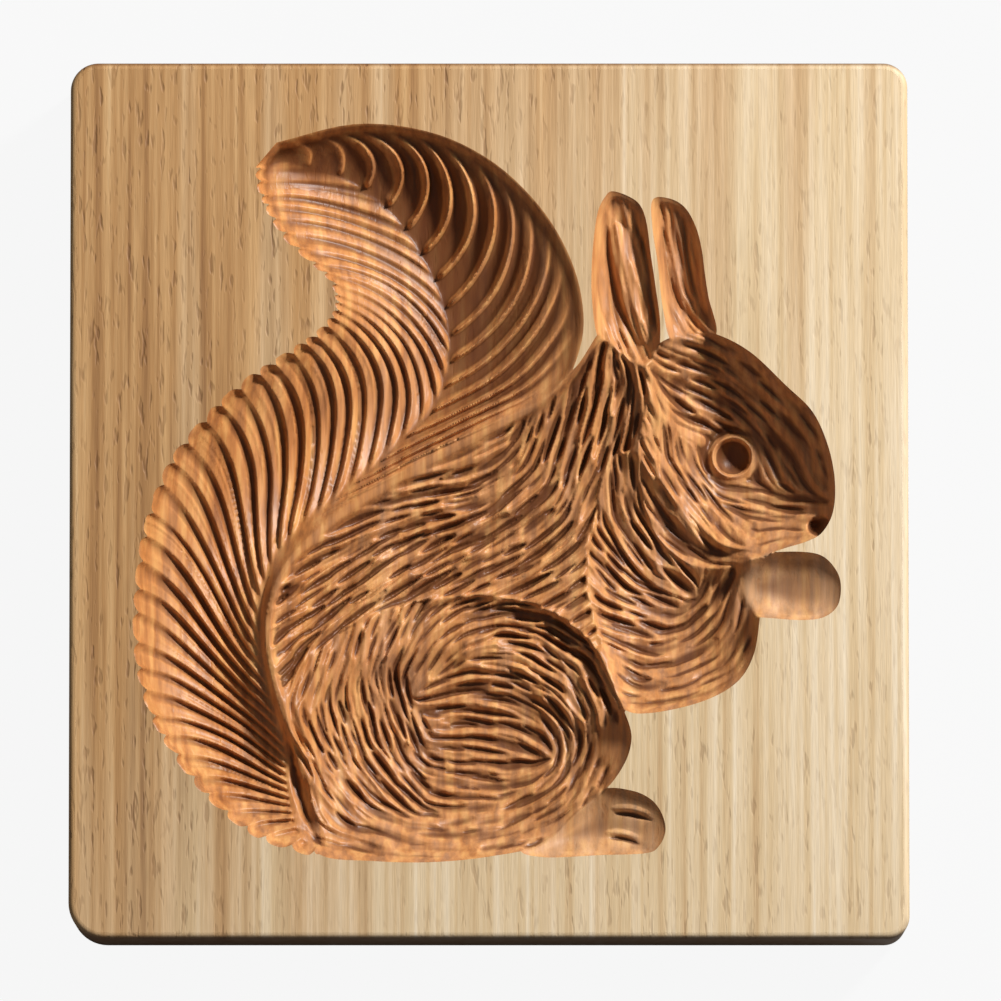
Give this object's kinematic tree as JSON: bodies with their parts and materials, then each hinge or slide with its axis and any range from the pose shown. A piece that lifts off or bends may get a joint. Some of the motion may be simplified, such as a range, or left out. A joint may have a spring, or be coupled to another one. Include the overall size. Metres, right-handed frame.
{
  "type": "cookie mould",
  "caption": "Square hardwood board with a seated squirrel carved into its face as a recess, for pressing cookie dough.",
  "frame": {"origin": "centre of the flat back, which the board rests on", "axes": "+Z out of the carved face, +Y towards the squirrel's ears, +X the way that the squirrel looks"},
  "size_m": [0.1298, 0.136, 0.02],
  "materials": {
    "wood": "oiled hardwood"
  },
  "bodies": {
    "root": {"mould_board": "wood"}
  },
  "joints": []
}
